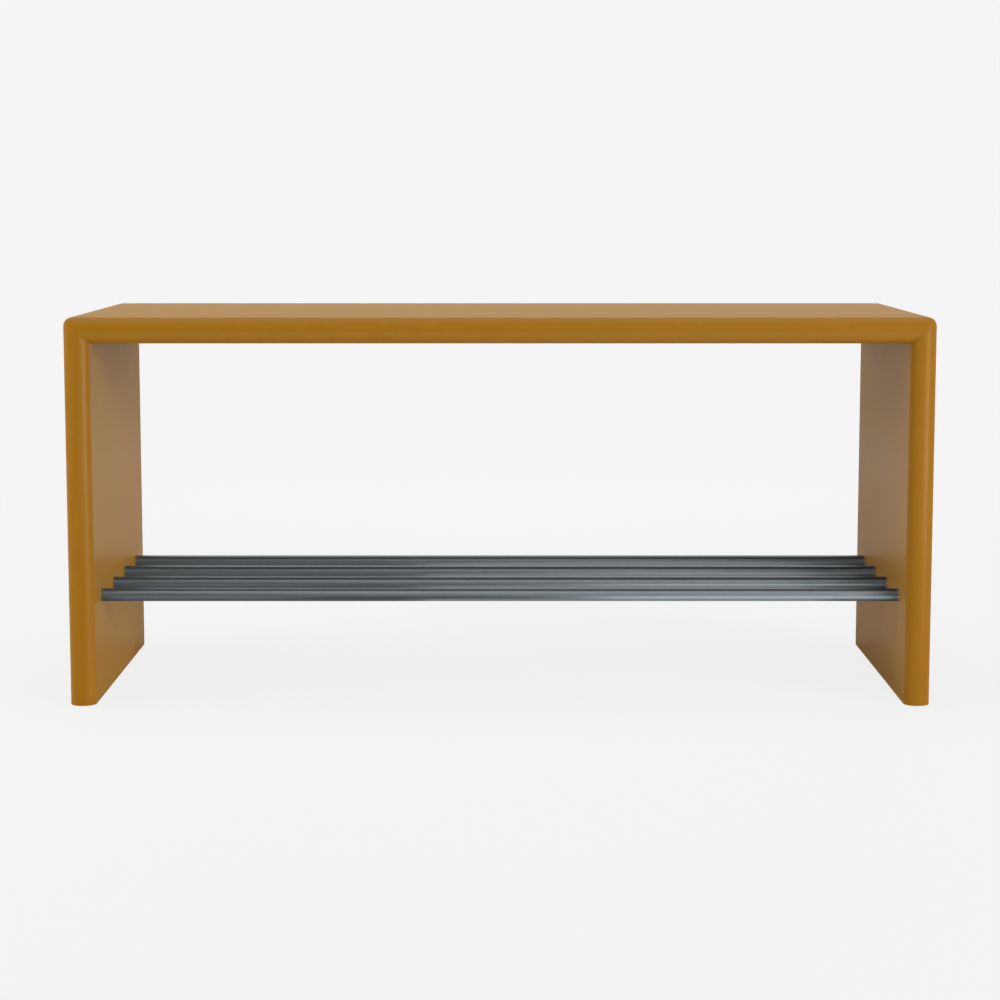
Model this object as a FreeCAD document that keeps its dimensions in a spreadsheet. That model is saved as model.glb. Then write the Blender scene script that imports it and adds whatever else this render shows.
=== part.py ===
import FreeCAD, Part
import Sketcher
import math
import os

# A shoe bench: a seat board mitred to two side panels, all with a half-round front edge,
# and round steel rails between the sides that carry the shoes.
# X runs along the bench, the front faces -Y, and Z goes up from the floor under the middle.

doc = FreeCAD.newDocument("shoe_bench")

# Driving dimensions in millimetres, and counts
DRIVING = {
    "bench_length": 1000,
    "bench_depth": 400,
    "bench_height": 451,
    "board_thickness": 30,
    "corner_radius": 10,
    "back_edge_radius": 2,
    "foot_chamfer": 0.5,
    "dowel_count": 6,
    "dowel_diameter": 8,
    "dowel_length": 25,
    "dowel_chamfer": 0.8,
    "dowel_margin": 40,
    "dowel_cover": 5,
    "dowel_clearance": 0.05,
    "dowel_end_gap": 1,
    "rail_count": 4,
    "rail_diameter": 15,
    "rail_wall": 1.5,
    "rail_margin": 64,
    "rail_height": 121.5,
    "socket_depth": 14,
    "socket_clearance": 0.15,
    "socket_end_gap": 0.3,
    "plug_flange": 1.5,
    "plug_length": 16,
    "plug_wall": 2,
    "plug_lead": 1,
    "plug_clearance": 0.05,
    "groove_count": 3,
    "groove_start": 2,
    "groove_width": 2,
    "groove_depth": 0.6,
    "groove_span": 9,
    "glide_diameter": 20,
    "glide_head": 1,
    "glide_edge": 0.5,
    "glide_margin": 45,
    "stem_diameter": 8,
    "stem_length": 14,
    "stem_lead": 1,
    "stem_clearance": 0.05,
    "stem_end_gap": 1,
}

# Dimensions that follow from the driving ones
WORKED_OUT = {
    "half_length": "Sizes.bench_length / 2",
    "half_depth": "Sizes.bench_depth / 2",
    "nose_radius": "Sizes.board_thickness / 2",
    "nose_centre": "half_depth - nose_radius",
    "ease_centre": "half_depth - Sizes.back_edge_radius",
    "inner_half": "half_length - Sizes.board_thickness",
    "under_seat": "Sizes.bench_height - Sizes.board_thickness",
    "corner_x": "half_length - Sizes.corner_radius",
    "corner_z": "Sizes.bench_height - Sizes.corner_radius",
    "seat_straight": "2 * corner_x",
    "side_straight": "corner_z - Sizes.glide_head",
    "waste_side": "Sizes.board_thickness + Sizes.corner_radius",
    "waste_x": "half_length - waste_side",
    "waste_z": "Sizes.bench_height - waste_side",
    "dowel_row": "Sizes.bench_depth - 2 * Sizes.dowel_margin",
    "first_dowel": "half_depth - Sizes.dowel_margin",
    "dowel_radius": "Sizes.dowel_diameter / 2",
    "dowel_tip_radius": "dowel_radius - Sizes.dowel_chamfer",
    "dowel_shoulder": "Sizes.dowel_length - Sizes.dowel_chamfer",
    "dowel_hole_radius": "dowel_radius + Sizes.dowel_clearance",
    "dowel_hole_depth": "Sizes.dowel_length / 2 + Sizes.dowel_end_gap",
    "dowel_hole_rise": "(dowel_hole_depth + dowel_hole_radius) / sqrt(2)",
    "dowel_inset": "Sizes.board_thickness - Sizes.dowel_cover - dowel_hole_rise",
    "dowel_up_mitre": "dowel_inset * sqrt(2)",
    "dowel_reach": "Sizes.dowel_length / 2 / sqrt(2)",
    "dowel_end_x": "inner_half + dowel_inset + dowel_reach",
    "dowel_end_z": "under_seat + dowel_inset - dowel_reach",
    "rail_row": "Sizes.bench_depth - 2 * Sizes.rail_margin",
    "rail_pitch": "rail_row / (Sizes.rail_count - 1)",
    "first_rail": "half_depth - Sizes.rail_margin",
    "rail_radius": "Sizes.rail_diameter / 2",
    "rail_bore": "rail_radius - Sizes.rail_wall",
    "socket_radius": "rail_radius + Sizes.socket_clearance",
    "plug_face": "inner_half + Sizes.socket_depth - Sizes.socket_end_gap",
    "rail_length": "2 * (plug_face - Sizes.plug_flange)",
    "shank_radius": "rail_bore - Sizes.plug_clearance",
    "plug_end": "Sizes.plug_flange + Sizes.plug_length",
    "plug_shoulder": "plug_end - Sizes.plug_lead",
    "plug_tip_radius": "shank_radius - Sizes.plug_lead",
    "plug_bore": "shank_radius - Sizes.plug_wall",
    "groove_front": "Sizes.plug_flange + Sizes.groove_start",
    "groove_back": "groove_front + Sizes.groove_width",
    "groove_floor": "shank_radius - Sizes.groove_depth",
    "glide_x": "half_length - nose_radius",
    "glide_y": "half_depth - Sizes.glide_margin",
    "glide_radius": "Sizes.glide_diameter / 2",
    "glide_foot_radius": "glide_radius - Sizes.glide_edge",
    "stem_radius": "Sizes.stem_diameter / 2",
    "stem_tip_radius": "stem_radius - Sizes.stem_lead",
    "stem_top": "Sizes.glide_head + Sizes.stem_length",
    "stem_shoulder": "stem_top - Sizes.stem_lead",
    "stem_hole_radius": "stem_radius + Sizes.stem_clearance",
    "stem_hole_depth": "Sizes.stem_length + Sizes.stem_end_gap",
}


def fill_sheet(name, cells, prefix):
    """A spreadsheet with one named cell in each row."""
    sheet = doc.addObject("Spreadsheet::Sheet", name)
    for row, (alias, content) in enumerate(cells.items(), start=1):
        sheet.set(f"A{row}", alias)
        sheet.set(f"B{row}", f"{prefix}{content}")
        sheet.setAlias(f"B{row}", alias)


fill_sheet("Sizes", DRIVING, "")
fill_sheet("Derived", WORKED_OUT, "=")
doc.recompute()


def value(cell):
    """The number that a cell such as Sizes.bench_depth holds now."""
    sheet, alias = cell.split(".")
    return float(doc.getObject(sheet).get(alias))


# Point numbers of a sketch's lines and arcs, and its own point and axes
START = 1
END = 2
CENTRE = 3
ORIGIN = -1
LEVEL_AXIS = -1
UPRIGHT_AXIS = -2

# Turns in degrees, and the turns of sketches and pieces about the axes
QUARTER_TURN = 90
HALF_TURN = 180
FULL_TURN = 360
MITRE_ANGLE = 45
UNTURNED = FreeCAD.Rotation()
UPRIGHT_BOARD = FreeCAD.Rotation(FreeCAD.Vector(0, 0, 1), QUARTER_TURN)
ONTO_MITRE = FreeCAD.Rotation(FreeCAD.Vector(1, 0, 0), MITRE_ANGLE)
ACROSS_MITRE = FreeCAD.Rotation(FreeCAD.Vector(0, 1, 0), -MITRE_ANGLE)
TURNED_ROUND = FreeCAD.Rotation(FreeCAD.Vector(0, 0, 1), HALF_TURN)


def new_body(name, turn=UNTURNED, **places):
    """A body, turned, and placed along the bench's axes by cells."""
    body = doc.addObject("PartDesign::Body", name)
    body.Placement = FreeCAD.Placement(FreeCAD.Vector(), turn)
    for axis, cell in places.items():
        body.setExpression(f"Placement.Base.{axis}", cell)
    return body


def origin_item(body, role):
    """One of a body's own origin planes or axes."""
    return next(item for item in body.Origin.OriginFeatures if item.Role == role)


def new_sketch(body, name, plane, turn=UNTURNED, **places):
    """A sketch on an origin plane of its body, turned, and placed along that plane's axes by cells."""
    sketch = body.newObject("Sketcher::SketchObject", name)
    sketch.AttachmentSupport = [(origin_item(body, plane), "")]
    sketch.MapMode = "FlatFace"
    sketch.AttachmentOffset = FreeCAD.Placement(FreeCAD.Vector(), turn)
    for axis, cell in places.items():
        sketch.setExpression(f"AttachmentOffset.Base.{axis}", cell)
    return sketch


def constrain(sketch, kind, *places):
    """A rule between places in a sketch that needs no size."""
    sketch.addConstraint(Sketcher.Constraint(kind, *places))


def dimension(sketch, cell, kind, *places):
    """A size between places in a sketch, tied to a cell."""
    index = sketch.addConstraint(Sketcher.Constraint(kind, *places, value(cell)))
    sketch.setExpression(f"Constraints[{index}]", cell)


def line(sketch, start, end):
    """A straight line between two points."""
    return sketch.addGeometry(Part.LineSegment(FreeCAD.Vector(*start), FreeCAD.Vector(*end)))


def arc(sketch, centre, radius, first, last):
    """An arc that runs anticlockwise from the first angle to the last, in degrees."""
    ring = Part.Circle(FreeCAD.Vector(*centre), FreeCAD.Vector(0, 0, 1), radius)
    return sketch.addGeometry(Part.ArcOfCircle(ring, math.radians(first), math.radians(last)))


def circle(sketch, centre, cell):
    """A circle whose radius is tied to a cell."""
    ring = Part.Circle(FreeCAD.Vector(*centre), FreeCAD.Vector(0, 0, 1), value(cell))
    index = sketch.addGeometry(ring)
    dimension(sketch, cell, "Radius", index)
    return index


def outline(sketch, corners):
    """A closed outline of straight lines. A corner is a cell along and a cell up, None on that axis."""
    points = [[value(cell) if cell else 0 for cell in corner] for corner in corners]
    lines = [line(sketch, point, points[i - len(points) + 1]) for i, point in enumerate(points)]
    for i, (along, up) in enumerate(corners):
        constrain(sketch, "Coincident", lines[i - 1], END, lines[i], START)
        if along:
            dimension(sketch, along, "DistanceX", ORIGIN, START, lines[i], START)
        else:
            constrain(sketch, "PointOnObject", lines[i], START, UPRIGHT_AXIS)
        if up:
            dimension(sketch, up, "DistanceY", ORIGIN, START, lines[i], START)
        else:
            constrain(sketch, "PointOnObject", lines[i], START, LEVEL_AXIS)


def feature(body, kind, name, sketch, **ties):
    """A feature made from a sketch, with its sizes tied to cells."""
    item = body.newObject(f"PartDesign::{kind}", name)
    item.Profile = sketch
    for size, cell in ties.items():
        item.setExpression(size, cell)
    return item


def turned(body, kind, name, sketch, axis, angle=FULL_TURN):
    """A feature turned about one of its sketch's axes."""
    item = feature(body, kind, name, sketch)
    item.ReferenceAxis = (sketch, [axis])
    item.Angle = angle
    return item


def must_cut(item):
    """Stop if a feature that takes material away has taken none."""
    doc.recompute()
    if item.Shape.Volume >= item.BaseFeature.Shape.Volume:
        raise RuntimeError(f"{item.Name} cuts nothing")


def row_of(body, name, originals, axis, count, length):
    """Features repeated in a row along one of the body's axes, first to last over a length."""
    row = body.newObject("PartDesign::LinearPattern", name)
    row.Originals = originals
    row.Direction = (origin_item(body, axis), [""])
    row.setExpression("Occurrences", count)
    row.setExpression("Length", length)
    body.Tip = row
    return row


def mirrored(body, name, originals, plane):
    """Features repeated on the other side of one of the body's origin planes."""
    mirror = body.newObject("PartDesign::Mirrored", name)
    mirror.Originals = originals
    mirror.MirrorPlane = (origin_item(body, plane), [""])
    body.Tip = mirror
    return mirror


def mirror_image(name, piece):
    """The same piece for the other end of the bench."""
    image = doc.addObject("Part::Mirroring", name)
    image.Source = piece
    image.Normal = FreeCAD.Vector(1, 0, 0)
    return image


# Boards


def draw_section(sketch):
    """The boards' section: inner face on the level axis, half-round front, two eased back edges."""
    thickness = value("Sizes.board_thickness")
    ease = value("Sizes.back_edge_radius")
    nose = value("Derived.nose_radius")
    front = -value("Derived.nose_centre")
    back = value("Derived.ease_centre")
    rear = value("Derived.half_depth")
    outer_face = line(sketch, (front, thickness), (back, thickness))
    outer_ease = arc(sketch, (back, thickness - ease), ease, 0, QUARTER_TURN)
    back_face = line(sketch, (rear, thickness - ease), (rear, ease))
    inner_ease = arc(sketch, (back, ease), ease, -QUARTER_TURN, 0)
    inner_face = line(sketch, (back, 0), (front, 0))
    nose_arc = arc(sketch, (front, nose), nose, QUARTER_TURN, QUARTER_TURN + HALF_TURN)
    constrain(sketch, "Tangent", outer_face, END, outer_ease, END)
    constrain(sketch, "Tangent", outer_ease, START, back_face, START)
    constrain(sketch, "Tangent", back_face, END, inner_ease, END)
    constrain(sketch, "Tangent", inner_ease, START, inner_face, START)
    constrain(sketch, "Tangent", inner_face, END, nose_arc, END)
    constrain(sketch, "Tangent", nose_arc, START, outer_face, START)
    constrain(sketch, "Horizontal", outer_face)
    constrain(sketch, "Horizontal", inner_face)
    constrain(sketch, "Vertical", back_face)
    constrain(sketch, "PointOnObject", inner_face, START, LEVEL_AXIS)
    constrain(sketch, "Equal", outer_ease, inner_ease)
    dimension(sketch, "Sizes.back_edge_radius", "Radius", outer_ease)
    dimension(sketch, "Sizes.board_thickness", "DistanceY", inner_face, END, outer_face, START)
    dimension(sketch, "Derived.half_depth", "DistanceX", ORIGIN, START, back_face, START)
    dimension(sketch, "Derived.nose_centre", "DistanceX", nose_arc, CENTRE, ORIGIN, START)


def draw_corner(sketch):
    """The boards' section outside the axis of the rounded outer corner, which is the level axis here."""
    corner = value("Sizes.corner_radius")
    ease = value("Sizes.back_edge_radius")
    nose = value("Derived.nose_radius")
    front = -value("Derived.nose_centre")
    back = value("Derived.ease_centre")
    rear = value("Derived.half_depth")
    drop = nose - corner
    tip = front - math.sqrt(nose**2 - drop**2)
    tip_angle = HALF_TURN - math.degrees(math.asin(drop / nose))
    axis_line = line(sketch, (tip, 0), (rear, 0))
    back_face = line(sketch, (rear, 0), (rear, corner - ease))
    outer_ease = arc(sketch, (back, corner - ease), ease, 0, QUARTER_TURN)
    outer_face = line(sketch, (back, corner), (front, corner))
    nose_arc = arc(sketch, (front, -drop), nose, QUARTER_TURN, tip_angle)
    constrain(sketch, "Coincident", axis_line, END, back_face, START)
    constrain(sketch, "Tangent", back_face, END, outer_ease, START)
    constrain(sketch, "Tangent", outer_ease, END, outer_face, START)
    constrain(sketch, "Tangent", outer_face, END, nose_arc, START)
    constrain(sketch, "Coincident", nose_arc, END, axis_line, START)
    constrain(sketch, "PointOnObject", axis_line, START, LEVEL_AXIS)
    constrain(sketch, "PointOnObject", axis_line, END, LEVEL_AXIS)
    constrain(sketch, "Vertical", back_face)
    constrain(sketch, "Horizontal", outer_face)
    dimension(sketch, "Sizes.corner_radius", "DistanceY", ORIGIN, START, outer_face, START)
    dimension(sketch, "Sizes.back_edge_radius", "Radius", outer_ease)
    dimension(sketch, "Derived.half_depth", "DistanceX", ORIGIN, START, back_face, START)
    dimension(sketch, "Derived.nose_centre", "DistanceX", nose_arc, CENTRE, ORIGIN, START)
    dimension(sketch, "Derived.nose_radius", "Radius", nose_arc)


def mitre_end(body, name, waste, plane, turn, corner_place, joint_place):
    """Mitre one end of a board, add its half of the rounded corner, and drill the front dowel hole.

    The waste sketch is the triangle to saw off. The plane and turn set the boards' section across the
    end: the corner's section goes at the corner's axis, and the hole on the mitre from its inner edge.
    """
    saw = feature(body, "Pocket", f"{name}_mitre", waste)
    saw.Type = "ThroughAll"
    saw.SideType = "Symmetric"
    must_cut(saw)
    section = new_sketch(body, f"{name}_corner_section", plane, turn, **corner_place)
    draw_corner(section)
    corner = turned(body, "Revolution", f"{name}_corner", section, "H_Axis", MITRE_ANGLE)
    drilling = new_sketch(body, f"{name}_dowel_place", plane, turn * ONTO_MITRE, **joint_place)
    front_hole = (-value("Derived.first_dowel"), value("Derived.dowel_up_mitre"))
    ring = circle(drilling, front_hole, "Derived.dowel_hole_radius")
    dimension(drilling, "Derived.first_dowel", "DistanceX", ring, CENTRE, ORIGIN, START)
    dimension(drilling, "Derived.dowel_up_mitre", "DistanceY", ORIGIN, START, ring, CENTRE)
    hole = feature(body, "Pocket", f"{name}_dowel_hole", drilling, Length="Derived.dowel_hole_depth")
    must_cut(hole)
    return saw, corner, hole


def lowest_face(shape):
    """The name of a shape's lowest face."""
    heights = [face.CenterOfMass.z for face in shape.Faces]
    return f"Face{heights.index(min(heights)) + 1}"


# The triangle sawn off at a mitre has two sides of this length
WASTE_SIDE = "Derived.waste_side"

# Seat board: one length of board, mitred at both ends
seat = new_body("seat_board")
seat_section = new_sketch(seat, "seat_section", "YZ_Plane", y="Derived.under_seat")
draw_section(seat_section)
seat_blank = feature(seat, "Pad", "seat_blank", seat_section, Length="Derived.seat_straight")
seat_blank.SideType = "Symmetric"
seat_waste = new_sketch(seat, "seat_waste", "XZ_Plane", x="Derived.waste_x", y="Derived.waste_z")
outline(seat_waste, [(None, None), (WASTE_SIDE, None), (WASTE_SIDE, WASTE_SIDE)])
seat_saw, seat_corner, seat_hole = mitre_end(
    seat,
    "seat",
    seat_waste,
    "YZ_Plane",
    UNTURNED,
    {"y": "Derived.corner_z", "z": "Derived.corner_x"},
    {"y": "Derived.under_seat", "z": "Derived.inner_half"},
)
mirrored(seat, "seat_other_end", [seat_saw, seat_corner], "YZ_Plane")
doc.recompute()
seat_holes = seat.newObject("PartDesign::MultiTransform", "seat_dowel_holes")
seat_holes.Originals = [seat_hole]
seat_holes.Transformations = [
    row_of(seat, "seat_dowel_row", [], "Y_Axis", "Sizes.dowel_count", "Derived.dowel_row"),
    mirrored(seat, "seat_dowel_rows", [], "YZ_Plane"),
]
seat.Tip = seat_holes
must_cut(seat_holes)

# Side panels: the same board upright, with rail sockets inside and glide holes below
left_side = new_body("left_side_panel")
side_section = new_sketch(
    left_side, "side_section", "XY_Plane", UPRIGHT_BOARD, x="-Derived.inner_half", z="Sizes.glide_head"
)
draw_section(side_section)
side_blank = feature(left_side, "Pad", "side_blank", side_section, Length="Derived.side_straight")
doc.recompute()
foot_edge = left_side.newObject("PartDesign::Chamfer", "foot_edge")
foot_edge.Base = (side_blank, [lowest_face(side_blank.Shape)])
foot_edge.setExpression("Size", "Sizes.foot_chamfer")
must_cut(foot_edge)
side_waste = new_sketch(left_side, "side_waste", "XZ_Plane", x="-Derived.half_length", y="Derived.waste_z")
outline(side_waste, [(WASTE_SIDE, None), (WASTE_SIDE, WASTE_SIDE), (None, WASTE_SIDE)])
_, _, side_hole = mitre_end(
    left_side,
    "side",
    side_waste,
    "XY_Plane",
    UPRIGHT_BOARD,
    {"x": "-Derived.corner_x", "z": "Derived.corner_z"},
    {"x": "-Derived.inner_half", "z": "Derived.under_seat"},
)
row_of(left_side, "side_dowel_holes", [side_hole], "Y_Axis", "Sizes.dowel_count", "Derived.dowel_row")

socket_sketch = new_sketch(
    left_side, "socket_place", "YZ_Plane", y="Sizes.rail_height", z="-Derived.inner_half"
)
socket_ring = circle(socket_sketch, (-value("Derived.first_rail"), 0), "Derived.socket_radius")
constrain(socket_sketch, "PointOnObject", socket_ring, CENTRE, LEVEL_AXIS)
dimension(socket_sketch, "Derived.first_rail", "DistanceX", socket_ring, CENTRE, ORIGIN, START)
socket = feature(left_side, "Pocket", "rail_socket", socket_sketch, Length="Sizes.socket_depth")
must_cut(socket)
row_of(left_side, "rail_sockets", [socket], "Y_Axis", "Sizes.rail_count", "Derived.rail_row")

stem_sketch = new_sketch(left_side, "stem_place", "XY_Plane", x="-Derived.glide_x", z="Sizes.glide_head")
stem_ring = circle(stem_sketch, (0, -value("Derived.glide_y")), "Derived.stem_hole_radius")
constrain(stem_sketch, "PointOnObject", stem_ring, CENTRE, UPRIGHT_AXIS)
dimension(stem_sketch, "Derived.glide_y", "DistanceY", stem_ring, CENTRE, ORIGIN, START)
stem_hole = feature(left_side, "Pocket", "stem_hole", stem_sketch, Length="Derived.stem_hole_depth")
stem_hole.Reversed = True
must_cut(stem_hole)
mirrored(left_side, "stem_holes", [stem_hole], "XZ_Plane")

right_side = mirror_image("right_side_panel", left_side)

# Mitre dowels: beech pegs with chamfered ends, square to the joint, in a row along each mitre
left_dowels = new_body(
    "left_mitre_dowels",
    ACROSS_MITRE,
    x="-Derived.dowel_end_x",
    y="-Derived.first_dowel",
    z="Derived.dowel_end_z",
)
left_dowels.AllowCompound = True
dowel_section = new_sketch(left_dowels, "dowel_section", "XZ_Plane")
outline(
    dowel_section,
    [
        (None, None),
        (None, "Derived.dowel_tip_radius"),
        ("Sizes.dowel_chamfer", "Derived.dowel_radius"),
        ("Derived.dowel_shoulder", "Derived.dowel_radius"),
        ("Sizes.dowel_length", "Derived.dowel_tip_radius"),
        ("Sizes.dowel_length", None),
    ],
)
dowel = turned(left_dowels, "Revolution", "dowel", dowel_section, "H_Axis")
row_of(left_dowels, "dowels", [dowel], "Y_Axis", "Sizes.dowel_count", "Derived.dowel_row")
right_dowels = mirror_image("right_mitre_dowels", left_dowels)

# Shoe rails: plain steel tube, seated in the sides' sockets, with a ribbed nylon plug in each end


def make_rail(number, place):
    """One steel tube, front rail first."""
    rail = new_body(f"shoe_rail_{number}", y=place, z="Sizes.rail_height")
    section = new_sketch(rail, f"rail_{number}_section", "YZ_Plane")
    for cell in ("Derived.rail_radius", "Derived.rail_bore"):
        ring = circle(section, (0, 0), cell)
        constrain(section, "Coincident", ring, CENTRE, ORIGIN, START)
    tube = feature(rail, "Pad", f"rail_{number}_tube", section, Length="Derived.rail_length")
    tube.SideType = "Symmetric"
    return rail


def make_plug(number, end, turn, along, place):
    """One plug: a flange over the tube's end, and a hollow shank inside it with ring grooves."""
    plug = new_body(f"rail_{number}_{end}_plug", turn, x=along, y=place, z="Sizes.rail_height")
    section = new_sketch(plug, f"{plug.Name}_section", "XZ_Plane")
    outline(
        section,
        [
            (None, None),
            (None, "Derived.rail_radius"),
            ("Sizes.plug_flange", "Derived.rail_radius"),
            ("Sizes.plug_flange", "Derived.shank_radius"),
            ("Derived.plug_shoulder", "Derived.shank_radius"),
            ("Derived.plug_end", "Derived.plug_tip_radius"),
            ("Derived.plug_end", "Derived.plug_bore"),
            ("Sizes.plug_flange", "Derived.plug_bore"),
            ("Sizes.plug_flange", None),
        ],
    )
    turned(plug, "Revolution", f"{plug.Name}_blank", section, "H_Axis")
    groove_section = new_sketch(plug, f"{plug.Name}_groove_section", "XZ_Plane")
    outline(
        groove_section,
        [
            ("Derived.groove_front", "Derived.rail_bore"),
            ("Derived.groove_back", "Derived.rail_bore"),
            ("Derived.groove_back", "Derived.groove_floor"),
        ],
    )
    groove = turned(plug, "Groove", f"{plug.Name}_groove", groove_section, "H_Axis")
    must_cut(groove)
    row_of(plug, f"{plug.Name}_grooves", [groove], "X_Axis", "Sizes.groove_count", "Sizes.groove_span")
    return plug


rails = []
plugs = []
for number in range(1, round(value("Sizes.rail_count")) + 1):
    rail_place = f"{number - 1} * Derived.rail_pitch - Derived.first_rail"
    rails.append(make_rail(number, rail_place))
    plugs.append(make_plug(number, "left", UNTURNED, "-Derived.plug_face", rail_place))
    plugs.append(make_plug(number, "right", TURNED_ROUND, "Derived.plug_face", rail_place))

# Floor glides: nylon discs with a stem pushed up into the sides' lower edges


def make_glide(name, along, across):
    """One glide, with its flat underside on the floor."""
    glide = new_body(name, x=along, y=across)
    section = new_sketch(glide, f"{name}_section", "XZ_Plane")
    outline(
        section,
        [
            (None, None),
            ("Derived.glide_foot_radius", None),
            ("Derived.glide_radius", "Sizes.glide_edge"),
            ("Derived.glide_radius", "Sizes.glide_head"),
            ("Derived.stem_radius", "Sizes.glide_head"),
            ("Derived.stem_radius", "Derived.stem_shoulder"),
            ("Derived.stem_tip_radius", "Derived.stem_top"),
            (None, "Derived.stem_top"),
        ],
    )
    turned(glide, "Revolution", f"{name}_blank", section, "V_Axis")
    return glide


glides = [
    make_glide("front_left_glide", "-Derived.glide_x", "-Derived.glide_y"),
    make_glide("back_left_glide", "-Derived.glide_x", "Derived.glide_y"),
    make_glide("front_right_glide", "Derived.glide_x", "-Derived.glide_y"),
    make_glide("back_right_glide", "Derived.glide_x", "Derived.glide_y"),
]

# Check the document, then write each piece
doc.recompute()
for item in doc.Objects:
    if "Invalid" in item.State or "Error" in item.State:
        raise RuntimeError(f"{item.Name} failed: {item.State}")

pieces = [seat, left_side, right_side, left_dowels, right_dowels, *rails, *plugs, *glides]
for piece in pieces:
    if piece.Shape.isNull() or not piece.Shape.isValid():
        raise RuntimeError(f"{piece.Label} has no valid shape")

os.makedirs("parts", exist_ok=True)
for piece in pieces:
    piece.Shape.exportStep(f"parts/{piece.Label}.step")
    print(piece.Label, len(piece.Shape.Solids), "solids", round(piece.Shape.Volume), "cubic mm")
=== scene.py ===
import math

import bmesh
import bpy
from mathutils import Matrix, Vector


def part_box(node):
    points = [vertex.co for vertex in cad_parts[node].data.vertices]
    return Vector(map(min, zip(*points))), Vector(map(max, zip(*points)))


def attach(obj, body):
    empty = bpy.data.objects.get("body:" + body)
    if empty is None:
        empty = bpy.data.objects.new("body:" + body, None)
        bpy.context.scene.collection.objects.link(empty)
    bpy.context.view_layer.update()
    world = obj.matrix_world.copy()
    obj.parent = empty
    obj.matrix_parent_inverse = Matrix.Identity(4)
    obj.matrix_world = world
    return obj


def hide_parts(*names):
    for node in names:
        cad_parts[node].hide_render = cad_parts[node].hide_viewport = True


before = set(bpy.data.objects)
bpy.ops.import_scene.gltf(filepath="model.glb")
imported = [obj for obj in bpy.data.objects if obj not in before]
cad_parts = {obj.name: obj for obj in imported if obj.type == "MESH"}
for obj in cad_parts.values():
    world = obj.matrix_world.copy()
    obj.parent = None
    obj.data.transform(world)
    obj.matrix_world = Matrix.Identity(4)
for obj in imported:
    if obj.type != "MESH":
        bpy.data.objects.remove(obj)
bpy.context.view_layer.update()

# Boards
# The seat and the two sides are one 30 mm pressed fibre board, its front edge moulded to a half round.
# They are mitred to each other, glued over dowels and rounded at the corners, and the sides are bored
# for the rails and the floor glides. The whole is sanded and sprayed with an ochre satin lacquer.
side_low, side_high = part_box("left_side_panel")
seat_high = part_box("seat_board")[1]
THICKNESS = side_high.x - side_low.x
INNER = -side_high.x
FOOT = side_low.z
BACK = seat_high.y
UNDER = seat_high.z - THICKNESS
CORNER_ROUND = 0.01
BACK_ROUND = 0.002
FOOT_ROUND = 0.0005
NOSE = THICKNESS / 2
NOSE_CENTRE = NOSE - BACK
CORNER_AXIS = THICKNESS - CORNER_ROUND
CORNER_TIP = math.degrees(math.asin((CORNER_AXIS - NOSE) / NOSE))
CORNER_TURN = 45
CORNER_STEPS = 5
FOOT_STEPS = 5
NOSE_STEP = 3
BACK_STEP = 15
HOLD = 0.001
DIVISION = 0.04


def arc(centre, radius, first, last, step):
    """Points on an arc, each with the way it faces: depth, height, depth way, height way. In degrees."""
    count = math.ceil(abs(last - first) / step)
    turns = [math.radians(first + (last - first) * i / count) for i in range(count + 1)]
    ways = [(math.cos(turn), math.sin(turn)) for turn in turns]
    return [(centre[0] + radius * y, centre[1] + radius * z, y, z) for y, z in ways]


def divided(start, end):
    """Places from start to end, with one close to each end so that smooth shading keeps the face flat."""
    hold = math.copysign(HOLD, end - start)
    count = math.ceil(abs(end - start) / DIVISION)
    inner = [start + hold + (end - start - 2 * hold) * i / count for i in range(count + 1)]
    return [start, *inner, end]


def flat(start, end, height, way):
    """Points along a flat face of the section, without the ends that the arcs beside it have."""
    return [(depth, height, 0, way) for depth in divided(start, end)[1:-1]]


# The section goes round from the corner's axis at the back, over the top and the nose, then back below.
OVER_AXIS = [
    (BACK, CORNER_AXIS, 1, 0),
    *arc((BACK - BACK_ROUND, THICKNESS - BACK_ROUND), BACK_ROUND, 0, 90, BACK_STEP),
    *flat(BACK - BACK_ROUND, NOSE_CENTRE, THICKNESS, 1),
    *arc((NOSE_CENTRE, NOSE), NOSE, 90, 180 - CORNER_TIP, NOSE_STEP),
]
BELOW_AXIS = [
    *arc((NOSE_CENTRE, NOSE), NOSE, 180 - CORNER_TIP, 270, NOSE_STEP)[1:],
    *flat(NOSE_CENTRE, BACK - BACK_ROUND, 0, -1),
    *arc((BACK - BACK_ROUND, BACK_ROUND), BACK_ROUND, 270, 360, BACK_STEP),
]
SECTION = OVER_AXIS + BELOW_AXIS


def board_ring(board, place, along, inset=0.0):
    """Points round the section, drawn in by an inset. along gives the place on the board at a height."""
    return [
        board.verts.new(place(along(height), depth - inset * back, height - inset * up))
        for depth, height, back, up in SECTION
    ]


def join_rings(mesh, first, second):
    """A band of faces between two closed rings."""
    for i in range(len(first)):
        mesh.faces.new((first[i - 1], first[i], second[i], second[i - 1]))


def mitre_line(inner_corner, way=1):
    """How far along the board its sawn end lies, at a height over the inner face."""
    return lambda height: way * (inner_corner + min(height, CORNER_AXIS))


def mitre_end(board, place, ring, inner_corner, way=1):
    """Turn the section outside the corner's axis through half the corner, and close the mitre's face."""
    edge = ring[: len(OVER_AXIS)]
    for step in range(1, CORNER_STEPS + 1):
        turn = math.radians(CORNER_TURN) * step / CORNER_STEPS
        turned = []
        for depth, height, _, _ in OVER_AXIS[1:-1]:
            reach = height - CORNER_AXIS
            along = way * (inner_corner + CORNER_AXIS + reach * math.sin(turn))
            turned.append(board.verts.new(place(along, depth, CORNER_AXIS + reach * math.cos(turn))))
        turned = [edge[0], *turned, edge[-1]]
        for i in range(1, len(edge)):
            corners = [edge[i - 1], edge[i], turned[i], turned[i - 1]]
            board.faces.new(list(dict.fromkeys(corners)))
        edge = turned
    board.faces.new(edge + ring[len(OVER_AXIS) :])


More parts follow.
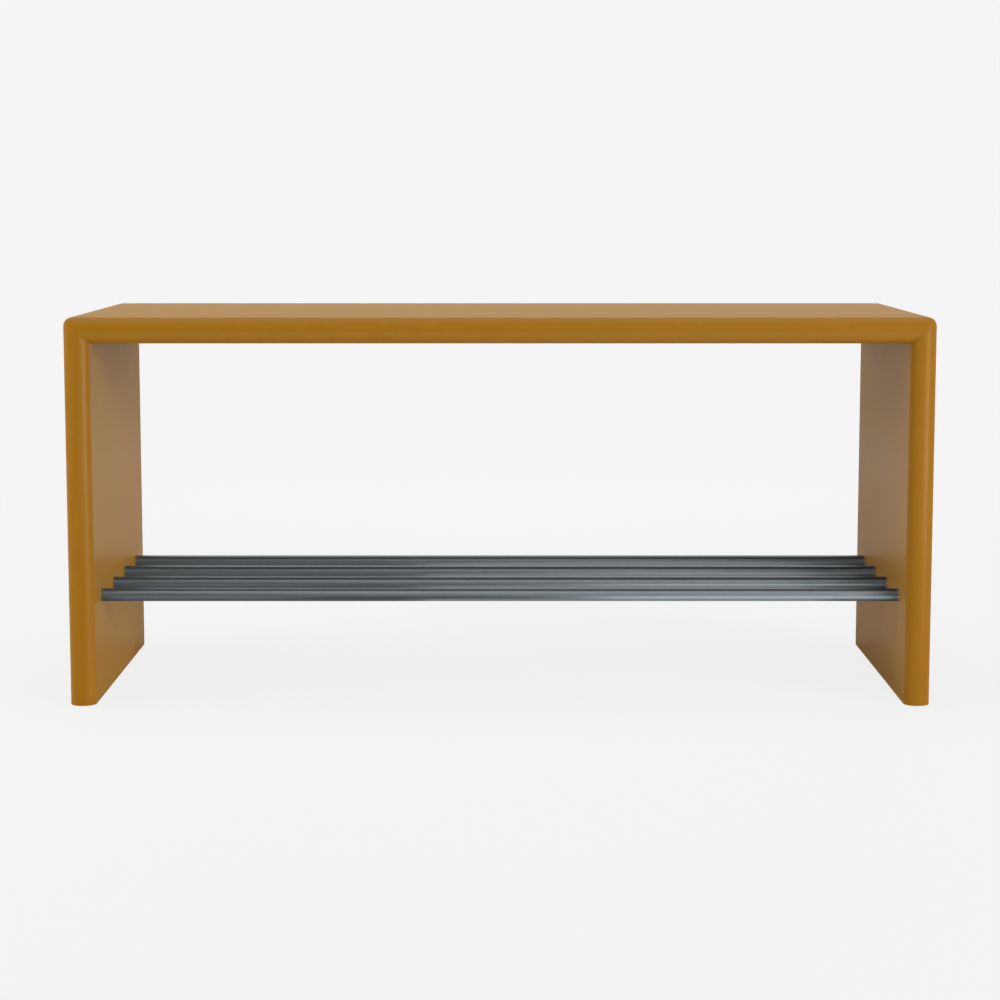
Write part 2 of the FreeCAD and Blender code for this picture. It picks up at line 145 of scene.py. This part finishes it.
def new_piece(name, shape):
    """A finished bmesh as an object, with its faces turned outwards."""
    bmesh.ops.recalc_face_normals(shape, faces=shape.faces)
    mesh = bpy.data.meshes.new(name)
    shape.to_mesh(mesh)
    shape.free()
    piece = bpy.data.objects.new(name, mesh)
    bpy.context.scene.collection.objects.link(piece)
    return piece


SHARP_TURN = 35


def smooth(piece):
    """Shade a piece smooth, except at edges that turn by more than the sharp angle, in degrees."""
    piece.data.shade_smooth()
    piece.data.set_sharp_from_angle(angle=math.radians(SHARP_TURN))


BIT_SIDES = 72
BIT_RUN_IN = 0.004
BURR = 0.00001


def drill(piece, holes):
    """Bore round blind holes, each given by its mouth, the way in, its radius and its depth."""
    bits = bmesh.new()
    for mouth, way, radius, depth in holes:
        turn = way.to_track_quat("Z", "Y").to_matrix().to_4x4()
        middle = mouth + way * (depth - BIT_RUN_IN) / 2
        bmesh.ops.create_cone(
            bits,
            cap_ends=True,
            segments=BIT_SIDES,
            radius1=radius,
            radius2=radius,
            depth=depth + BIT_RUN_IN,
            matrix=Matrix.Translation(middle) @ turn,
        )
    cutter = new_piece(f"{piece.name}_bits", bits)
    cut = piece.modifiers.new("bores", "BOOLEAN")
    cut.operation = "DIFFERENCE"
    cut.solver = "EXACT"
    cut.object = cutter
    bored = bpy.data.meshes.new_from_object(piece.evaluated_get(bpy.context.evaluated_depsgraph_get()))
    piece.modifiers.clear()
    # Points left almost on each other, and faces with many corners, would give empty faces once the mesh is
    # cut into triangles.
    clean = bmesh.new()
    clean.from_mesh(bored)
    bmesh.ops.remove_doubles(clean, verts=clean.verts, dist=BURR)
    bmesh.ops.triangulate(clean, faces=[face for face in clean.faces if len(face.verts) > 4])
    clean.to_mesh(bored)
    clean.free()
    piece.data = bored
    bpy.data.objects.remove(cutter)


DOWEL_RADIUS = 0.004
DOWEL_LENGTH = 0.025
DOWEL_COUNT = 6
DOWEL_CLEARANCE = 0.00005
DOWEL_END_GAP = 0.001


def dowel_holes(side, way):
    """The holes for the dowels of the left (-1) or right (1) mitre, bored into the seat or the side."""
    low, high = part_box("left_mitre_dowels" if side < 0 else "right_mitre_dowels")
    middle = (low + high) / 2
    first = low.y + DOWEL_RADIUS
    pitch = (high.y - low.y - 2 * DOWEL_RADIUS) / (DOWEL_COUNT - 1)
    return [
        (
            Vector((middle.x, first + pitch * i, middle.z)),
            way,
            DOWEL_RADIUS + DOWEL_CLEARANCE,
            DOWEL_LENGTH / 2 + DOWEL_END_GAP,
        )
        for i in range(DOWEL_COUNT)
    ]


def seat_place(along, depth, height):
    return (along, depth, UNDER + height)


seat_shape = bmesh.new()
left_end = board_ring(seat_shape, seat_place, mitre_line(INNER, -1))
last = left_end
for station in divided(-INNER, INNER)[1:-1]:
    ring = board_ring(seat_shape, seat_place, lambda height: station)
    join_rings(seat_shape, last, ring)
    last = ring
right_end = board_ring(seat_shape, seat_place, mitre_line(INNER))
join_rings(seat_shape, last, right_end)
mitre_end(seat_shape, seat_place, left_end, INNER, -1)
mitre_end(seat_shape, seat_place, right_end, INNER)
seat = new_piece("lacquered_seat", seat_shape)
drill(
    seat,
    [
        hole
        for side in (-1, 1)
        for hole in dowel_holes(side, Vector((-side, 0, 1)).normalized())
    ],
)
smooth(seat)
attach(seat, "root")
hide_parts("seat_board")

SOCKET_CLEARANCE = 0.00015
SOCKET_DEPTH = 0.014
RAIL_COUNT = 4
RAIL_RADIUS = 0.0075
STEM_RADIUS = 0.004
STEM_CLEARANCE = 0.00005
STEM_HOLE_DEPTH = 0.015


def middle_of(node):
    low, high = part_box(node)
    return (low + high) / 2


def side_panel(name, side):
    """One upright board, from its rounded foot to its mitre, bored for dowels, rails and glides."""

    def side_place(along, depth, height):
        return (side * (INNER + height), depth, along)

    shape = bmesh.new()
    last = board_ring(shape, side_place, lambda height: FOOT, FOOT_ROUND + HOLD)
    shape.faces.new(last)
    for step in range(FOOT_STEPS + 1):
        turn = math.radians(90) * step / FOOT_STEPS
        rise = FOOT + FOOT_ROUND * (1 - math.cos(turn))
        ring = board_ring(shape, side_place, lambda height: rise, FOOT_ROUND * (1 - math.sin(turn)))
        join_rings(shape, last, ring)
        last = ring
    for station in divided(FOOT + FOOT_ROUND, UNDER)[1:-1]:
        ring = board_ring(shape, side_place, lambda height: station)
        join_rings(shape, last, ring)
        last = ring
    ring = board_ring(shape, side_place, mitre_line(UNDER))
    join_rings(shape, last, ring)
    mitre_end(shape, side_place, ring, UNDER)
    panel = new_piece(f"lacquered_{name}_side", shape)

    holes = dowel_holes(side, Vector((side, 0, -1)).normalized())
    for number in range(1, RAIL_COUNT + 1):
        rail = middle_of(f"shoe_rail_{number}")
        mouth = Vector((side * INNER, rail.y, rail.z))
        holes.append((mouth, Vector((side, 0, 0)), RAIL_RADIUS + SOCKET_CLEARANCE, SOCKET_DEPTH))
    for place in ("front", "back"):
        glide = middle_of(f"{place}_{name}_glide")
        mouth = Vector((glide.x, glide.y, FOOT))
        holes.append((mouth, Vector((0, 0, 1)), STEM_RADIUS + STEM_CLEARANCE, STEM_HOLE_DEPTH))
    drill(panel, holes)
    smooth(panel)
    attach(panel, "root")
    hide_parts(f"{name}_side_panel")
    return panel


sides = [side_panel("left", -1), side_panel("right", 1)]


class Shade:
    """A socket of a material's nodes. Sums written with it add Math nodes to the same material."""

    def __init__(self, socket):
        self.socket = socket

    def node(self, kind, settings, sockets, output=0):
        """Add a node: its settings first, then the values or links of its sockets by name or number."""
        tree = self.socket.id_data
        made = tree.nodes.new(kind)
        for name, setting in settings.items():
            setattr(made, name, setting)
        for name, content in sockets.items():
            if isinstance(content, Shade):
                tree.links.new(content.socket, made.inputs[name])
            else:
                made.inputs[name].default_value = content
        return Shade(made.outputs[output])

    def sum(self, operation, *terms):
        return self.node("ShaderNodeMath", {"operation": operation}, dict(enumerate(terms)))

    def __add__(self, other):
        return self.sum("ADD", self, other)

    def __sub__(self, other):
        return self.sum("SUBTRACT", self, other)

    def __rsub__(self, other):
        return self.sum("SUBTRACT", other, self)

    def __mul__(self, other):
        return self.sum("MULTIPLY", self, other)

    __radd__ = __add__
    __rmul__ = __mul__

    def mixed(self, first, second):
        """A colour from first to second as this value goes from 0 to 1."""
        return self.node("ShaderNodeMix", {"data_type": "RGBA"}, {0: self, 6: first, 7: second}, 2)

    def eased(self, low, high):
        """0 up to low, 1 from high on, and a smooth step between."""
        sockets = {"Value": self, "From Min": low, "From Max": high}
        return self.node("ShaderNodeMapRange", {"interpolation_type": "SMOOTHSTEP"}, sockets)

    def noise(self, scale, detail=2.0, roughness=0.5, distortion=0.0):
        """Noise at this place, with its scale in repeats to the metre."""
        sockets = {
            "Vector": self,
            "Scale": scale,
            "Detail": detail,
            "Roughness": roughness,
            "Distortion": distortion,
        }
        return self.node("ShaderNodeTexNoise", {}, sockets)

    def stretched(self, factors):
        """This place with each axis scaled."""
        return self.node("ShaderNodeVectorMath", {"operation": "MULTIPLY"}, {0: self, 1: factors})

    def axis(self, name):
        return self.node("ShaderNodeSeparateXYZ", {}, {0: self}, "XYZ".index(name))

    def into(self, name):
        """Feed an input of the material's shader."""
        tree = self.socket.id_data
        tree.links.new(self.socket, tree.nodes["Principled BSDF"].inputs[name])


def new_finish(name, **constants):
    """A material whose shader has these constant inputs, and the place on the object in metres."""
    finish = bpy.data.materials.new(name)
    finish.use_nodes = True
    shader = finish.node_tree.nodes["Principled BSDF"]
    for title, content in constants.items():
        shader.inputs[title.replace("_", " ")].default_value = content
    place = Shade(shader.outputs[0]).node("ShaderNodeTexCoord", {}, {}, "Object")
    return finish, place


def bumped(height, strength, distance):
    """Feed the shader's normal from a height."""
    sockets = {"Strength": strength, "Distance": distance, "Height": height}
    height.node("ShaderNodeBump", {}, sockets).into("Normal")


# The lacquer is redder on the moulded edge, mottled by spraying, rubbed on the seat, scuffed at the feet.
OCHRE = (0.36, 0.17, 0.007, 1)
OCHRE_DEEP = (0.348, 0.163, 0.0065, 1)
OCHRE_EDGE = (0.356, 0.153, 0.0058, 1)
OCHRE_THIN = (0.375, 0.175, 0.0085, 1)
EDGE_BLEND = NOSE / 4
MOTTLE = 0.35
SCUFF_HEIGHT = 0.012
SCUFF_WEAR = 0.5
RUB_START = 0.001
RUB_FULL = 0.0001
SATIN = 0.36
lacquer, place = new_finish("ochre_satin_lacquer", Specular_IOR_Level=0.11)
cloud = place.noise(scale=5, detail=3)
spray = place.noise(scale=60)
peel = place.noise(scale=420, roughness=0.4)
foot = 1 - place.axis("Z").eased(FOOT, FOOT + SCUFF_HEIGHT)
scuff = foot * place.noise(scale=240, detail=4, roughness=0.65).eased(0.5, 0.75)
tone = cloud.eased(0.35, 0.65).mixed(OCHRE_DEEP, OCHRE)
tone = place.axis("Y").eased(NOSE_CENTRE - EDGE_BLEND, NOSE_CENTRE).mixed(OCHRE_EDGE, tone)
tone = (spray.eased(0.4, 0.8) * MOTTLE).mixed(tone, OCHRE_THIN)
(scuff * SCUFF_WEAR).mixed(tone, OCHRE_THIN).into("Base Color")
rubbed = place.axis("Z").eased(seat_high.z - RUB_START, seat_high.z - RUB_FULL)
(SATIN + cloud * 0.05 + spray * 0.06 + scuff * 0.15 + rubbed * 0.08).into("Roughness")
bumped(peel + spray * 0.6, strength=0.12, distance=0.00006)
for board in (seat, *sides):
    board.data.materials.append(lacquer)

# Mitre dowels
# Six beech pegs in each mitre, 8 mm across and 25 mm long with chamfered ends, sawn from turned rod.
# They stand square to the joint, half in the seat and half in the side, and are glued in.
BEECH = (0.52, 0.33, 0.17, 1)
BEECH_DARK = (0.40, 0.23, 0.10, 1)
FLECK_DEPTH = 0.5


def beech_finish(name, side):
    """Straight beech grain with short dark flecks, along the dowels of the left (-1) or right (1) mitre."""
    finish, place = new_finish(name)
    sockets = {"Vector": place, "Rotation": (0, math.radians(CORNER_TURN * side), 0)}
    turned = place.node("ShaderNodeMapping", {"vector_type": "POINT"}, sockets)
    grain = turned.stretched((0.06, 1, 1)).noise(scale=900, detail=4, roughness=0.6, distortion=0.4)
    fleck = turned.stretched((0.25, 1, 1)).noise(scale=2600).eased(0.62, 0.72)
    tone = grain.eased(0.3, 0.7).mixed(BEECH_DARK, BEECH)
    (fleck * FLECK_DEPTH).mixed(tone, BEECH_DARK).into("Base Color")
    (0.55 + grain * 0.2).into("Roughness")
    bumped(grain, strength=0.3, distance=0.0002)
    return finish


for name, side in (("left_mitre_dowels", -1), ("right_mitre_dowels", 1)):
    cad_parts[name].data.materials[0] = beech_finish(f"{name}_beech", side)

# Shoe rails
# Four round steel tubes, 15 mm across with a 1.5 mm wall, sawn to length, deburred at the ends and
# drawn through a satin brush lengthwise. Their ends sit in the sides' blind sockets.
RAIL_WALL = 0.0015
RAIL_BREAK = 0.0003
RAIL_SIDES = 96


def steel_rail(number):
    """One tube, with its sharp edges broken."""
    node = f"shoe_rail_{number}"
    low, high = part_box(node)
    centre = (low + high) / 2
    bore = RAIL_RADIUS - RAIL_WALL
    stations = divided(low.x + RAIL_BREAK, high.x - RAIL_BREAK)
    profile = [
        (low.x, RAIL_RADIUS - RAIL_BREAK),
        *[(station, RAIL_RADIUS) for station in stations],
        (high.x, RAIL_RADIUS - RAIL_BREAK),
        (high.x, bore + RAIL_BREAK),
        *[(station, bore) for station in reversed(stations)],
        (low.x, bore + RAIL_BREAK),
    ]
    shape = bmesh.new()
    turns = [math.radians(360) * i / RAIL_SIDES for i in range(RAIL_SIDES)]
    ways = [(math.sin(turn), math.cos(turn)) for turn in turns]
    rings = [
        [shape.verts.new((along, centre.y + radius * y, centre.z + radius * z)) for y, z in ways]
        for along, radius in profile
    ]
    for i in range(len(rings)):
        join_rings(shape, rings[i - 1], rings[i])
    rail = new_piece(f"steel_rail_{number}", shape)
    smooth(rail)
    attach(rail, "root")
    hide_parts(node)
    return rail


STEEL = (0.266, 0.296, 0.313, 1)
STEEL_RUBBED = (0.29, 0.32, 0.337, 1)
BRUSH_STROKE = (0.004, 1, 1)
BRUSHED = 0.35
steel, place = new_finish("satin_dark_steel", Metallic=0.9)
brushing = place.stretched(BRUSH_STROKE).noise(scale=2200, detail=3, roughness=0.6)
handling = place.noise(scale=14, detail=3)
(brushing.eased(0.35, 0.75) * handling.eased(0.3, 0.7)).mixed(STEEL, STEEL_RUBBED).into("Base Color")
(BRUSHED + brushing * 0.03 + handling * 0.04).into("Roughness")
bumped(brushing, strength=0.02, distance=0.000005)
for number in range(1, RAIL_COUNT + 1):
    steel_rail(number).data.materials.append(steel)

# Rail plugs
# A black nylon plug closes each tube end: a flange over the wall and a ribbed hollow shank driven into
# the bore. They are moulded in one piece and stop the tube from rattling in its socket.
NYLON_BLACK = (0.018, 0.018, 0.019, 1)
NYLON_WORN = (0.05, 0.05, 0.052, 1)
nylon, place = new_finish("moulded_black_nylon", Specular_IOR_Level=0.4)
grain = place.noise(scale=2600, detail=3)
flow = place.noise(scale=160)
(grain.eased(0.6, 0.85) * 0.6).mixed(NYLON_BLACK, NYLON_WORN).into("Base Color")
(0.45 + grain * 0.12 + flow * 0.06).into("Roughness")
bumped(grain, strength=0.2, distance=0.00005)
for number in range(1, RAIL_COUNT + 1):
    for end in ("left", "right"):
        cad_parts[f"rail_{number}_{end}_plug"].data.materials[0] = nylon

# Floor glides
# Four pale nylon discs, 20 mm across and 1 mm thick, each with a stem pushed up into the side's lower
# edge. They keep the board off the floor, and their undersides are scuffed.
GLIDE_PALE = (0.60, 0.58, 0.53, 1)
GLIDE_SCUFFED = (0.36, 0.34, 0.30, 1)
SCRATCH_STROKE = (1, 0.15, 1)
SCRATCH_FULL = 0.0001
SCRATCH_END = 0.0006
glide_nylon, place = new_finish("moulded_pale_nylon", Specular_IOR_Level=0.4)
grain = place.noise(scale=1800, detail=3)
scratches = place.stretched(SCRATCH_STROKE).noise(scale=900, detail=4, roughness=0.7).eased(0.55, 0.7)
scratches = scratches * (1 - place.axis("Z").eased(SCRATCH_FULL, SCRATCH_END))
(scratches * 0.7 + grain * 0.08).mixed(GLIDE_PALE, GLIDE_SCUFFED).into("Base Color")
(0.42 + grain * 0.1 + scratches * 0.2).into("Roughness")
bumped(grain + scratches, strength=0.2, distance=0.00005)
for name in ("front_left", "back_left", "front_right", "back_right"):
    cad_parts[f"{name}_glide"].data.materials[0] = glide_nylon

# Studio
# A wide pale floor that fades into an even pale background, four soft lamps, and a small one for the light
# that the floor throws back on the left side. A strip lamp on the right lights only reflections. The cards
# and
# panels are painted reflections: grey sheets that glow, no lamps, seen only in reflections, the bright ones
# painted highlights and the dark ones painted shade and shadow in what the steel and the lacquer mirror.
scene = bpy.context.scene
scene.view_settings.view_transform = "Standard"
PALE = (0.913, 0.913, 0.913, 1)
FLOOR_RADIUS = 30
FLOOR_SIDES = 128
LIFT_SEEN = 0.9
LIFT_REFLECTED = 0.4
FADE_START = 1.2
FADE_END = 2.4


def bare_material(name):
    """A material with only its output, and a place to add nodes from."""
    material = bpy.data.materials.new(name)
    material.use_nodes = True
    material.node_tree.nodes.clear()
    output = material.node_tree.nodes.new("ShaderNodeOutputMaterial")
    return material, Shade(output.inputs[0])


def give_output(start, shader):
    """Link a shader to the output that the nodes were added from."""
    start.socket.id_data.links.new(shader.socket, start.socket)


def ray_kinds(start):
    """Whether a ray comes from the camera, from a reflection, or through something clear."""
    kinds = ("Is Camera Ray", "Is Glossy Ray", "Is Transmission Ray")
    return [start.node("ShaderNodeLightPath", {}, {}, kind) for kind in kinds]


floor_shape = bmesh.new()
bmesh.ops.create_circle(floor_shape, cap_ends=True, segments=FLOOR_SIDES, radius=FLOOR_RADIUS)
floor = new_piece("floor", floor_shape)
paper, start = bare_material("pale_floor")
floor.data.materials.append(paper)
camera_ray, glossy_ray, clear_ray = ray_kinds(start)
place = start.node("ShaderNodeTexCoord", {}, {}, "Object")
distance = place.node("ShaderNodeVectorMath", {"operation": "LENGTH"}, {0: place}, 1)
lit = start.node("ShaderNodeBsdfDiffuse", {}, {"Color": PALE})
glow = start.node("ShaderNodeEmission", {}, {"Color": PALE})
gone = start.node("ShaderNodeBsdfTransparent", {}, {})
lift = (camera_ray + clear_ray) * LIFT_SEEN + glossy_ray * LIFT_REFLECTED
lifted = start.node("ShaderNodeMixShader", {}, {0: lift, 1: lit, 2: glow})
below = start.node("ShaderNodeNewGeometry", {}, {}, "Backfacing")
fade = (camera_ray + clear_ray) * distance.eased(FADE_START, FADE_END) + below
give_output(start, start.node("ShaderNodeMixShader", {}, {0: fade, 1: lifted, 2: gone}))

AMBIENT = 0.23
world = bpy.data.worlds.new("studio")
scene.world = world
world.use_nodes = True
world.node_tree.nodes.clear()
start = Shade(world.node_tree.nodes.new("ShaderNodeOutputWorld").inputs[0])
camera_ray, glossy_ray, clear_ray = ray_kinds(start)
ambient = start.node("ShaderNodeBackground", {}, {"Color": (1, 1, 1, 1), "Strength": AMBIENT})
backdrop = start.node("ShaderNodeBackground", {}, {"Color": PALE, "Strength": 1.0})
seen = camera_ray + glossy_ray + clear_ray
give_output(start, start.node("ShaderNodeMixShader", {}, {0: seen, 1: ambient, 2: backdrop}))


def soft_lamp(name, place, aim, size, power, mirrored=False, spread=180):
    """A rectangular lamp that faces a point. It lights surfaces, or when mirrored, only reflections."""
    data = bpy.data.lights.new(name, "AREA")
    data.shape = "RECTANGLE"
    data.size, data.size_y = size
    data.energy = power
    data.spread = math.radians(spread)
    lamp = bpy.data.objects.new(name, data)
    lamp.location = place
    lamp.rotation_euler = (Vector(aim) - Vector(place)).to_track_quat("-Z", "Y").to_euler()
    lamp.visible_glossy = mirrored
    lamp.visible_diffuse = not mirrored
    lamp.visible_camera = False
    scene.collection.objects.link(lamp)


MIDDLE = (0, 0, 0.2)
CEILING = 2.6
BOUNCE = Vector((-0.3, -0.06, 0.004))
STRIP_HEIGHT = 0.27
STRIP = (1.05, -0.87, STRIP_HEIGHT)
STRIP_AIM = (-INNER, -0.19, STRIP_HEIGHT)
soft_lamp("overhead", (0, -0.2, CEILING), MIDDLE, size=(2.4, 1.8), power=22)
soft_lamp("front_right", (3.2, -3.2, 1.3), MIDDLE, size=(1.6, 1.8), power=106)
soft_lamp("left_side", (-2.6, -0.6, 0.9), MIDDLE, size=(1.6, 1.6), power=34)
soft_lamp("back", (0, 2.8, 1.4), MIDDLE, size=(3.0, 1.4), power=44)
soft_lamp("floor_bounce", BOUNCE, BOUNCE + Vector((0, 0, 1)), size=(0.34, 0.34), power=0.17)
soft_lamp("right_strip", STRIP, STRIP_AIM, size=(0.25, 0.34), power=2.2, mirrored=True, spread=70)

CARD_LIE = 0.003
CARD_GAP = 0.002
EDGE_LIE = 0.165
CARD_REACH = 4
FRONT = -3.4
PANEL = FRONT + CARD_GAP
NEAR_FLOOR = -0.5
FAR_FLOOR = 0.8
FLOOR_REACH = 2
UNDER_SPLIT = -0.1
UNDER_SHADE = 0.4


def card(name, low, high, tone, towards=MIDDLE):
    """A card between two corners that paints a reflection: it glows grey, in reflections only, on the side
    to a point.
    """
    flat_way = [first == last for first, last in zip(low, high)].index(True)
    across, up = [way for way in range(3) if way != flat_way]
    shape = bmesh.new()
    corners = []
    for first, second in ((low, low), (high, low), (high, high), (low, high)):
        corner = list(low)
        corner[across] = first[across]
        corner[up] = second[up]
        corners.append(shape.verts.new(corner))
    shape.faces.new(corners)
    piece = new_piece(name, shape)
    if piece.data.polygons[0].normal.dot(Vector(towards) - Vector(low)) < 0:
        piece.data.flip_normals()
    piece.visible_camera = False
    piece.visible_diffuse = False
    piece.visible_shadow = False
    piece.visible_transmission = False
    grey, start = bare_material(name)
    piece.data.materials.append(grey)
    glow = start.node("ShaderNodeEmission", {}, {"Strength": tone})
    gone = start.node("ShaderNodeBsdfTransparent", {}, {})
    behind = start.node("ShaderNodeNewGeometry", {}, {}, "Backfacing")
    give_output(start, start.node("ShaderNodeMixShader", {}, {0: behind, 1: glow, 2: gone}))


# Painted dark reflection: a near-black front wall of the studio, seen only in reflections.
card("dark_wall_reflection", (-CARD_REACH, FRONT, 0), (CARD_REACH, FRONT, CARD_REACH), 0.02)
# Painted highlights: bright sheets in front, at the right, overhead and low in front, seen only in
# reflections.
card("front_panel", (-0.5, PANEL, 1.2), (0.5, PANEL, CARD_REACH), 1.4)
card("right_panel", (1.5, PANEL, 0), (CARD_REACH, PANEL, CARD_REACH), 2.0)
card("top_panel", (-1.2, -0.175, CEILING), (1.2, 0.775, CEILING), 2.2)
card("edge_card", (-0.9, -1.1, EDGE_LIE), (0.9, -0.3, EDGE_LIE), 1.7, towards=(0, 0, CEILING))
# Painted reflections of the floor: dim around the bench, paler behind it and in front, seen only in
# reflections.
card("dim_floor_reflection", (-CARD_REACH, FRONT, CARD_GAP), (CARD_REACH, -BACK, CARD_GAP), 0.35)
card("back_floor", (-FLOOR_REACH, BACK, CARD_LIE), (FLOOR_REACH, FAR_FLOOR, CARD_LIE), 0.45)
card("far_floor", (-FLOOR_REACH, FAR_FLOOR, CARD_LIE), (FLOOR_REACH, FLOOR_REACH, CARD_LIE), 0.7)
card("front_floor", (-0.2, -1.4, CARD_LIE), (FLOOR_REACH, NEAR_FLOOR, CARD_LIE), 0.75)
# Painted shadow: a near-black patch of floor in front of the bench, seen only in reflections.
card("front_shade", (-0.25, NEAR_FLOOR, CARD_LIE), (0.05, -BACK, CARD_LIE), 0.02)
# Painted highlight: a bright patch of floor at the front right, seen only in reflections.
card("right_floor", (0.12, NEAR_FLOOR, CARD_LIE), (0.5, -BACK, CARD_LIE), 1.6)
# Painted shadow of the bench on the floor under it, seen only in reflections: dark on the left and along
# the right side, lighter between.
card("left_under_shadow", (-INNER, -BACK, CARD_LIE), (UNDER_SPLIT, BACK, CARD_LIE), 0.2)
card("right_under", (UNDER_SPLIT, -BACK, CARD_LIE), (UNDER_SHADE, BACK, CARD_LIE), 0.65)
card("right_shade", (UNDER_SHADE, -BACK, CARD_LIE), (INNER, BACK, CARD_LIE), 0.2)
# Painted shade: near-black sheets just under the seat and along the sides' inner faces, seen only in
# reflections in place of the shaded boards.
card("seat_card", (-INNER, NOSE_CENTRE, UNDER - CARD_GAP), (INNER, BACK, UNDER - CARD_GAP), 0.01)
card("left_card", (CARD_GAP - INNER, NOSE_CENTRE, 0), (CARD_GAP - INNER, BACK, UNDER), 0.07)
card("right_card", (INNER - CARD_GAP, NOSE_CENTRE, 0), (INNER - CARD_GAP, BACK, UNDER), 0.01)

CAMERA_LENS = 88.24
CAMERA_SENSOR = 36
CAMERA_DISTANCE = 2.9951
CAMERA_HEIGHT = 0.5839
CAMERA_TILT = 6.973
camera_data = bpy.data.cameras.new("camera")
camera_data.lens = CAMERA_LENS
camera_data.sensor_width = CAMERA_SENSOR
camera = bpy.data.objects.new("camera", camera_data)
camera.location = (0, -CAMERA_DISTANCE, CAMERA_HEIGHT)
camera.rotation_euler = (math.radians(90 - CAMERA_TILT), 0, 0)
scene.collection.objects.link(camera)
scene.camera = camera
